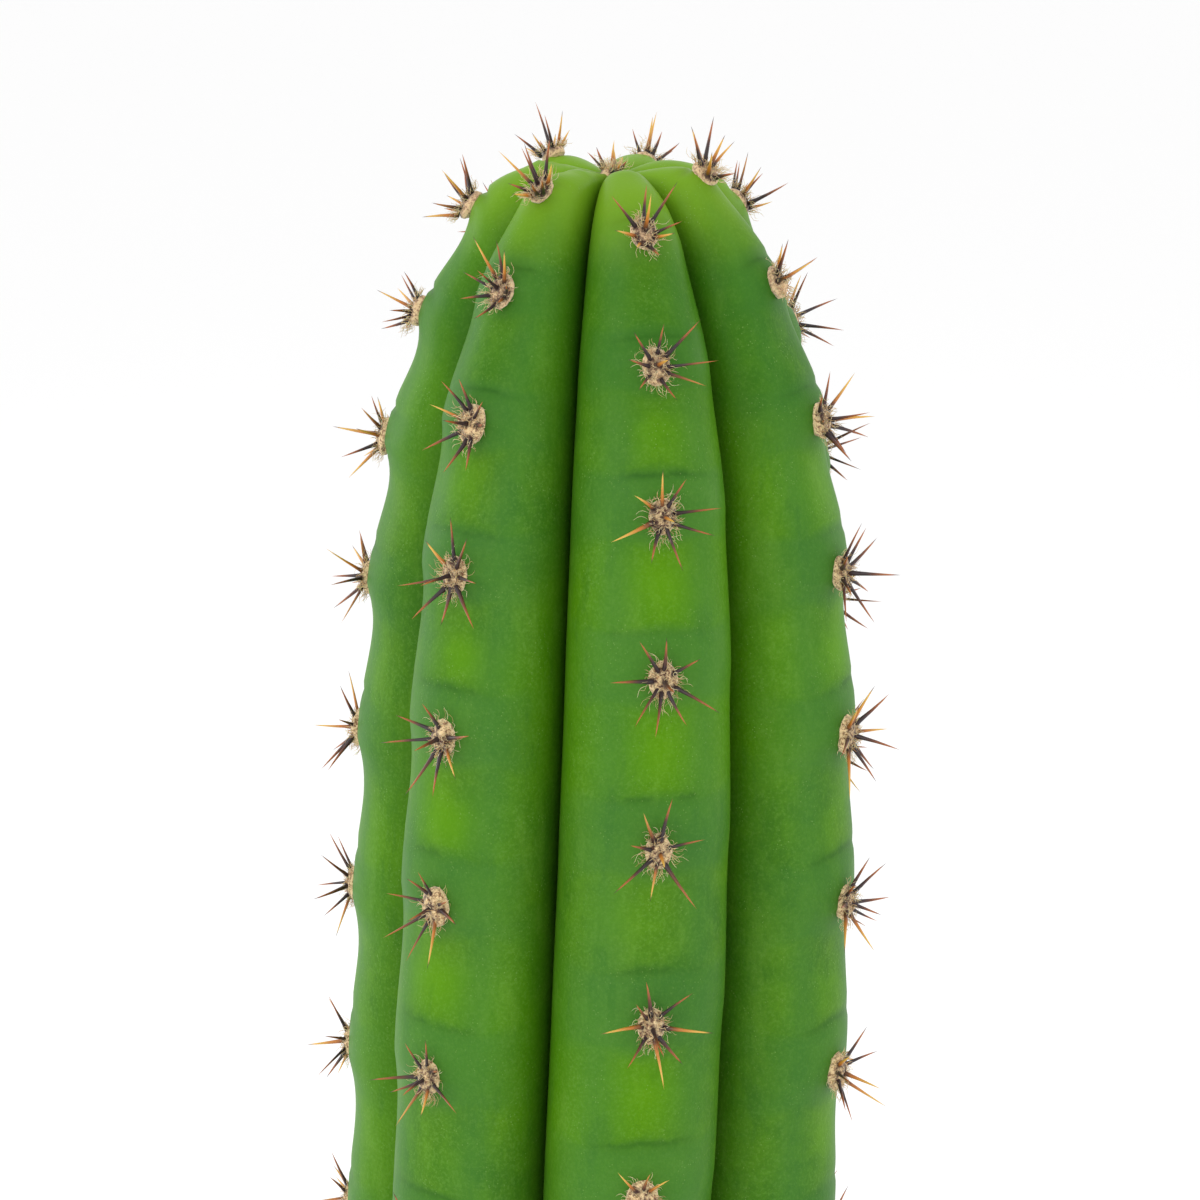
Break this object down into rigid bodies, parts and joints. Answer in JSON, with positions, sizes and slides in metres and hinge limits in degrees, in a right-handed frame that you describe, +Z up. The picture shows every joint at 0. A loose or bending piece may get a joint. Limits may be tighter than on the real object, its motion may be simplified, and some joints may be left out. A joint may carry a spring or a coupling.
{
  "type": "potted columnar cactus",
  "caption": "Tall ribbed columnar cactus with felted spiny areoles, standing in potting soil in a plain tapered clay pot with a drain hole.",
  "frame": {"origin": "centre of the underside of the clay pot, on the surface that it stands on", "axes": "+Z up along the stem; -Y is the front, the side that the widest view of the front rib faces; +X to the right seen from the front"},
  "size_m": [0.1698, 0.1698, 0.5245],
  "materials": {
    "clay": "matte",
    "potting_mix": "matte",
    "cactus_skin": "satin"
  },
  "bodies": {
    "root": {"clay_pot": "clay", "soil": "potting_mix", "cactus_stem": "cactus_skin"}
  },
  "joints": []
}
